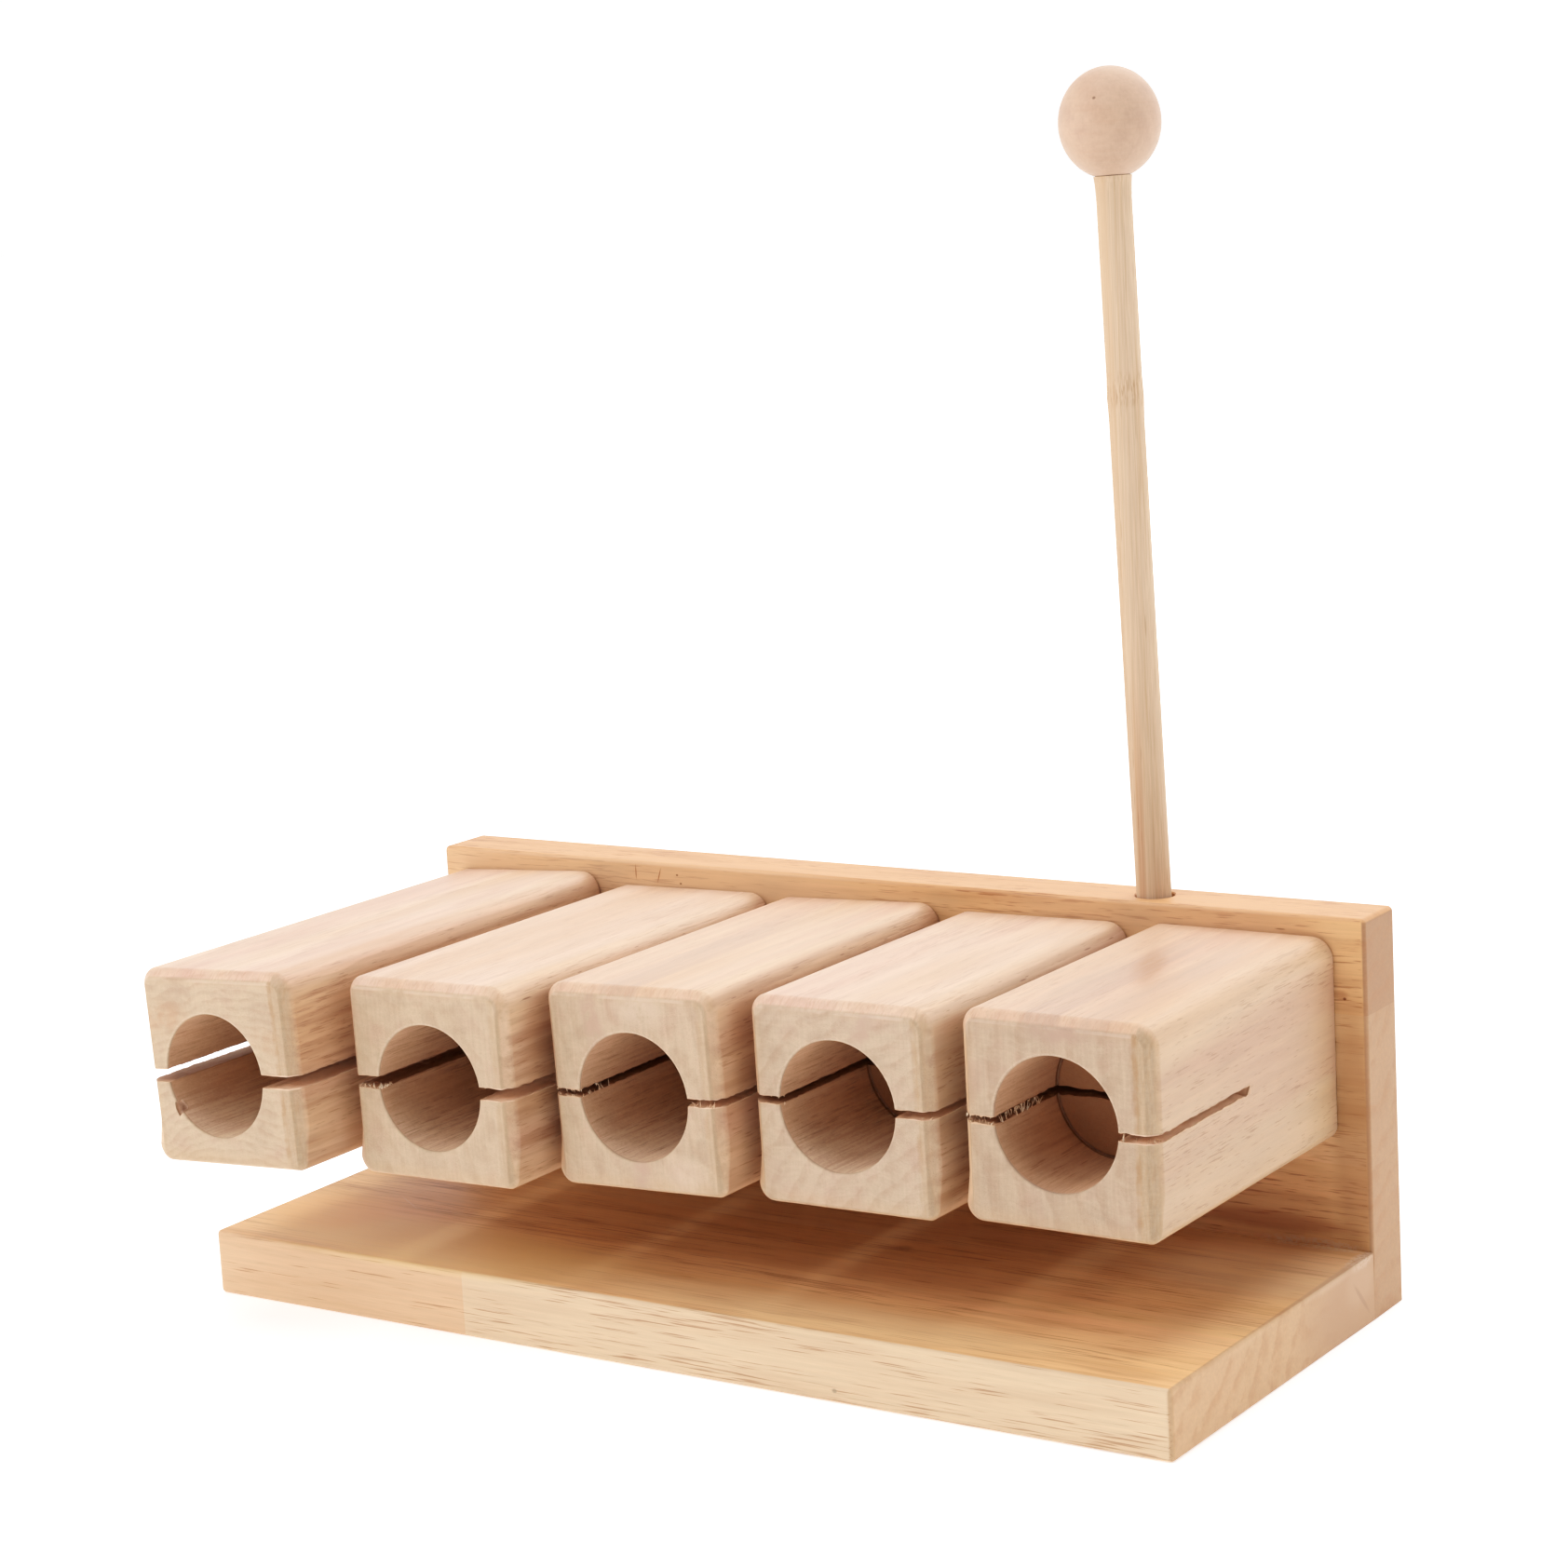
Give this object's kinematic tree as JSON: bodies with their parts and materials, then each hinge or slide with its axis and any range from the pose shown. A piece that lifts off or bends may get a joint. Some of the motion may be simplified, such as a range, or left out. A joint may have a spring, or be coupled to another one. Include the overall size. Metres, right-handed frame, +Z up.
{
  "type": "tone block set",
  "caption": "Hollow square wooden tone blocks of falling length, slit and bored from the front, on an L-shaped wooden stand with a ball-headed mallet in a hole in its back.",
  "frame": {"origin": "middle of the stand's footprint, on the surface that it stands on", "axes": "+X along the stand from the lowest-sounding block to the highest, +Y from the blocks' open fronts to the stand's back, +Z up"},
  "size_m": [0.283, 0.151, 0.3041],
  "materials": {
    "stand_wood": "warm golden rubberwood with short dark pores, thin satin lacquer",
    "block_wood": "pale cream hardwood, sanded, matte",
    "bead_wood": "turned pale hardwood, sanded, matte",
    "bamboo": "straw-coloured bamboo, fine lengthwise fibres, semi-matte",
    "screw_steel": "yellow zinc plated"
  },
  "bodies": {
    "stand": {"base_board": "stand_wood", "back_board": "stand_wood", "block_1": "block_wood", "block_2": "block_wood", "block_3": "block_wood", "block_4": "block_wood", "block_5": "block_wood", "block_screw_1": "screw_steel", "block_screw_2": "screw_steel", "block_screw_3": "screw_steel", "block_screw_4": "screw_steel", "block_screw_5": "screw_steel", "base_screw_1": "screw_steel", "base_screw_2": "screw_steel", "base_screw_3": "screw_steel"},
    "mallet": {"mallet_stick": "bamboo", "mallet_head": "bead_wood"}
  },
  "joints": [
    {"name": "mallet_lift", "type": "slide", "parent": "stand", "child": "mallet", "axis": [-0.0224, 0, 0.9997], "range_m": [0, 0.04]}
  ]
}
